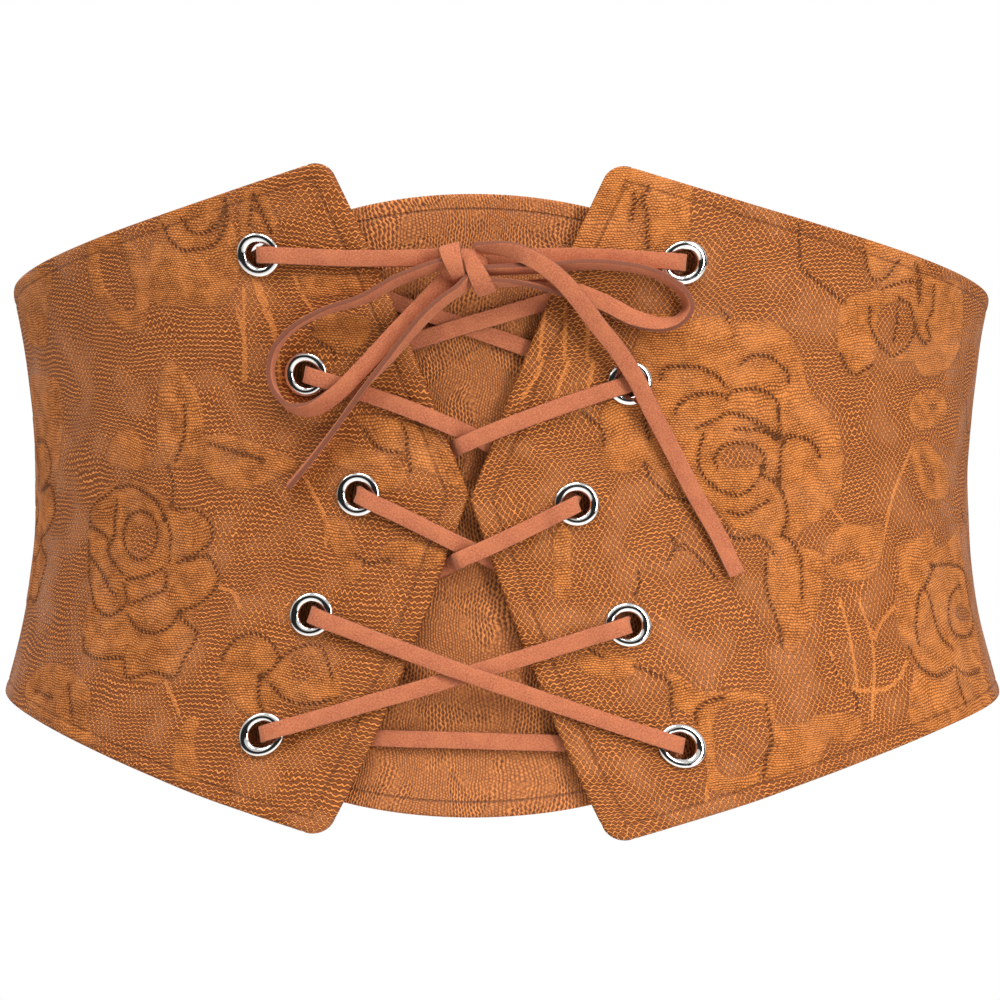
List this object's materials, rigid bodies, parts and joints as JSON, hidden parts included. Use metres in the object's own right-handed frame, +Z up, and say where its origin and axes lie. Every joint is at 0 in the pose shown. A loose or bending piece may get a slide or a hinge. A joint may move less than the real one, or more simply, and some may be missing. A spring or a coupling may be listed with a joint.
{
  "type": "corset belt",
  "caption": "Wide lace-covered waist belt with a V-shaped laced front, eyelets, tongue and elastic back.",
  "frame": {"origin": "centre of the waist at mid height, where the wearer's waist holds the belt", "axes": "+Z up along the waist, the laced front faces -Y, +X to the right seen from the front"},
  "size_m": [0.2666, 0.1909, 0.1681],
  "materials": {
    "lace_leather": "tan floral lace over smooth tan faux leather",
    "tongue_lace": "fine ribbed tan lace knit",
    "back_elastic": "matt brown ribbed elastic",
    "suede_lace": "matt reddish tan faux suede cord, flat",
    "eyelet_metal": "polished nickel"
  },
  "bodies": {
    "root": {"front_panel_left": "lace_leather", "front_panel_right": "lace_leather", "modesty_panel": "tongue_lace", "back_band": "back_elastic", "lacing": "suede_lace", "bow_knot": "suede_lace", "bow_loop_left": "suede_lace", "bow_loop_right": "suede_lace", "lace_tail_left": "suede_lace", "lace_tail_right": "suede_lace", "eyelet_left_1": "eyelet_metal", "eyelet_left_2": "eyelet_metal", "eyelet_left_3": "eyelet_metal", "eyelet_left_4": "eyelet_metal", "eyelet_left_5": "eyelet_metal", "eyelet_right_1": "eyelet_metal", "eyelet_right_2": "eyelet_metal", "eyelet_right_3": "eyelet_metal", "eyelet_right_4": "eyelet_metal", "eyelet_right_5": "eyelet_metal"}
  },
  "joints": []
}
